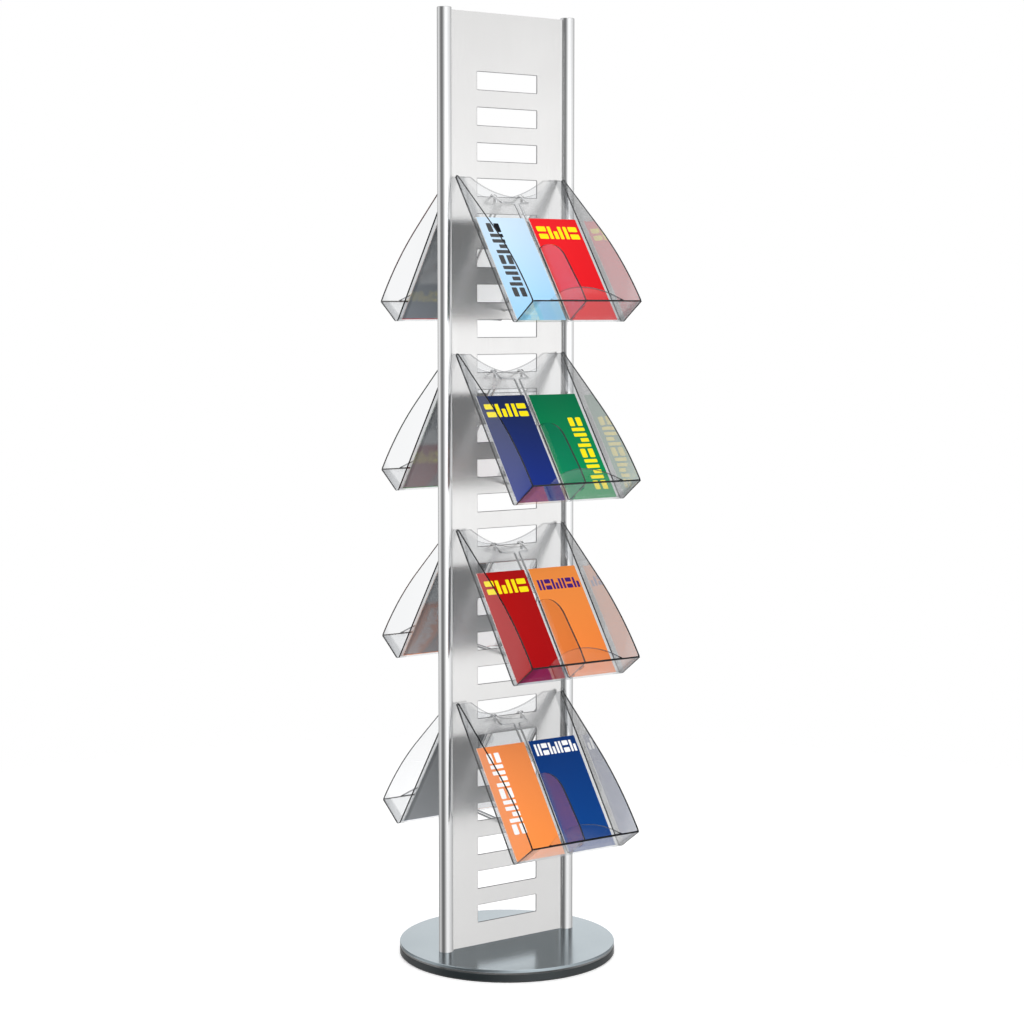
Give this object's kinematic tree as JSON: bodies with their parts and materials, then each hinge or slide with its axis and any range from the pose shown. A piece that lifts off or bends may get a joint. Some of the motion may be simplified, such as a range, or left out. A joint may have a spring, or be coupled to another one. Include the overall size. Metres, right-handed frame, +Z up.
{
  "type": "brochure rack",
  "caption": "Free-standing brochure rack: a slotted panel between two posts turns on a round base, with tilted clear leaflet trays hung on both sides.",
  "frame": {"origin": "centre of the base on the floor, at the underside of the rubber mat", "axes": "+Z up along the turning axis, +X along the slotted panel from left post to right post, -Y to the front"},
  "size_m": [0.3779, 0.4622, 1.635],
  "materials": {
    "mat_rubber": "matt",
    "base_paint": "satin anthracite",
    "turntable_metal": "fine satin",
    "panel_metal": "satin anodised",
    "post_metal": "bright anodised",
    "bearing_steel": "ground",
    "cage_plastic": "moulded",
    "bush_brass": "machined",
    "fastener_steel": "zinc plated",
    "hanger_wire": "bright",
    "tray_clear": "clear acrylic",
    "divider_clear": "clear acrylic",
    "leaflet_paper": "coated print"
  },
  "bodies": {
    "base": {"base_mat": "mat_rubber", "base_plate": "base_paint", "bearing_lower_race": "bearing_steel", "bearing_balls": "bearing_steel", "bearing_cage": "cage_plastic", "pivot_bush": "bush_brass"},
    "column": {"turntable_plate": "turntable_metal", "bearing_upper_race": "bearing_steel", "pivot_bolt": "fastener_steel", "pivot_washer": "fastener_steel", "pivot_nut": "fastener_steel", "panel": "panel_metal", "post_left": "post_metal", "post_right": "post_metal", "post_plug_left": "fastener_steel", "post_plug_right": "fastener_steel", "post_cap_left": "post_metal", "post_cap_right": "post_metal", "post_screws": "fastener_steel"},
    "front_unit_1": {"front_tray_1": "tray_clear", "front_hanger_1": "hanger_wire", "front_clamps_1": "tray_clear", "front_leaflets_1": "leaflet_paper"},
    "front_divider_unit_1": {"front_divider_1": "divider_clear"},
    "front_unit_2": {"front_tray_2": "tray_clear", "front_hanger_2": "hanger_wire", "front_clamps_2": "tray_clear", "front_leaflets_2": "leaflet_paper"},
    "front_divider_unit_2": {"front_divider_2": "divider_clear"},
    "front_unit_3": {"front_tray_3": "tray_clear", "front_hanger_3": "hanger_wire", "front_clamps_3": "tray_clear", "front_leaflets_3": "leaflet_paper"},
    "front_divider_unit_3": {"front_divider_3": "divider_clear"},
    "front_unit_4": {"front_tray_4": "tray_clear", "front_hanger_4": "hanger_wire", "front_clamps_4": "tray_clear", "front_leaflets_4": "leaflet_paper"},
    "front_divider_unit_4": {"front_divider_4": "divider_clear"},
    "rear_unit_1": {"rear_tray_1": "tray_clear", "rear_hanger_1": "hanger_wire", "rear_clamps_1": "tray_clear", "rear_leaflets_1": "leaflet_paper"},
    "rear_divider_unit_1": {"rear_divider_1": "divider_clear"},
    "rear_unit_2": {"rear_tray_2": "tray_clear", "rear_hanger_2": "hanger_wire", "rear_clamps_2": "tray_clear", "rear_leaflets_2": "leaflet_paper"},
    "rear_divider_unit_2": {"rear_divider_2": "divider_clear"},
    "rear_unit_3": {"rear_tray_3": "tray_clear", "rear_hanger_3": "hanger_wire", "rear_clamps_3": "tray_clear", "rear_leaflets_3": "leaflet_paper"},
    "rear_divider_unit_3": {"rear_divider_3": "divider_clear"},
    "rear_unit_4": {"rear_tray_4": "tray_clear", "rear_hanger_4": "hanger_wire", "rear_clamps_4": "tray_clear", "rear_leaflets_4": "leaflet_paper"},
    "rear_divider_unit_4": {"rear_divider_4": "divider_clear"}
  },
  "joints": [
    {"name": "turntable_spin", "type": "hinge", "parent": "base", "child": "column", "pos_m": [0, 0, 0.014], "axis": [0, 0, 1], "continuous": true},
    {"name": "front_tray_lift_1", "type": "slide", "parent": "column", "child": "front_unit_1", "axis": [0, 0, 1], "range_m": [0, 0.014]},
    {"name": "front_divider_pull_1", "type": "slide", "parent": "front_unit_1", "child": "front_divider_unit_1", "axis": [0, 0.5721, 0.8202], "range_m": [0, 0.15]},
    {"name": "front_tray_lift_2", "type": "slide", "parent": "column", "child": "front_unit_2", "axis": [0, 0, 1], "range_m": [0, 0.014]},
    {"name": "front_divider_pull_2", "type": "slide", "parent": "front_unit_2", "child": "front_divider_unit_2", "axis": [0, 0.5721, 0.8202], "range_m": [0, 0.15]},
    {"name": "front_tray_lift_3", "type": "slide", "parent": "column", "child": "front_unit_3", "axis": [0, 0, 1], "range_m": [0, 0.014]},
    {"name": "front_divider_pull_3", "type": "slide", "parent": "front_unit_3", "child": "front_divider_unit_3", "axis": [0, 0.5721, 0.8202], "range_m": [0, 0.15]},
    {"name": "front_tray_lift_4", "type": "slide", "parent": "column", "child": "front_unit_4", "axis": [0, 0, 1], "range_m": [0, 0.014]},
    {"name": "front_divider_pull_4", "type": "slide", "parent": "front_unit_4", "child": "front_divider_unit_4", "axis": [0, 0.5721, 0.8202], "range_m": [0, 0.15]},
    {"name": "rear_tray_lift_1", "type": "slide", "parent": "column", "child": "rear_unit_1", "axis": [0, 0, 1], "range_m": [0, 0.014]},
    {"name": "rear_divider_pull_1", "type": "slide", "parent": "rear_unit_1", "child": "rear_divider_unit_1", "axis": [0, -0.5721, 0.8202], "range_m": [0, 0.15]},
    {"name": "rear_tray_lift_2", "type": "slide", "parent": "column", "child": "rear_unit_2", "axis": [0, 0, 1], "range_m": [0, 0.014]},
    {"name": "rear_divider_pull_2", "type": "slide", "parent": "rear_unit_2", "child": "rear_divider_unit_2", "axis": [0, -0.5721, 0.8202], "range_m": [0, 0.15]},
    {"name": "rear_tray_lift_3", "type": "slide", "parent": "column", "child": "rear_unit_3", "axis": [0, 0, 1], "range_m": [0, 0.014]},
    {"name": "rear_divider_pull_3", "type": "slide", "parent": "rear_unit_3", "child": "rear_divider_unit_3", "axis": [0, -0.5721, 0.8202], "range_m": [0, 0.15]},
    {"name": "rear_tray_lift_4", "type": "slide", "parent": "column", "child": "rear_unit_4", "axis": [0, 0, 1], "range_m": [0, 0.014]},
    {"name": "rear_divider_pull_4", "type": "slide", "parent": "rear_unit_4", "child": "rear_divider_unit_4", "axis": [0, -0.5721, 0.8202], "range_m": [0, 0.15]}
  ]
}
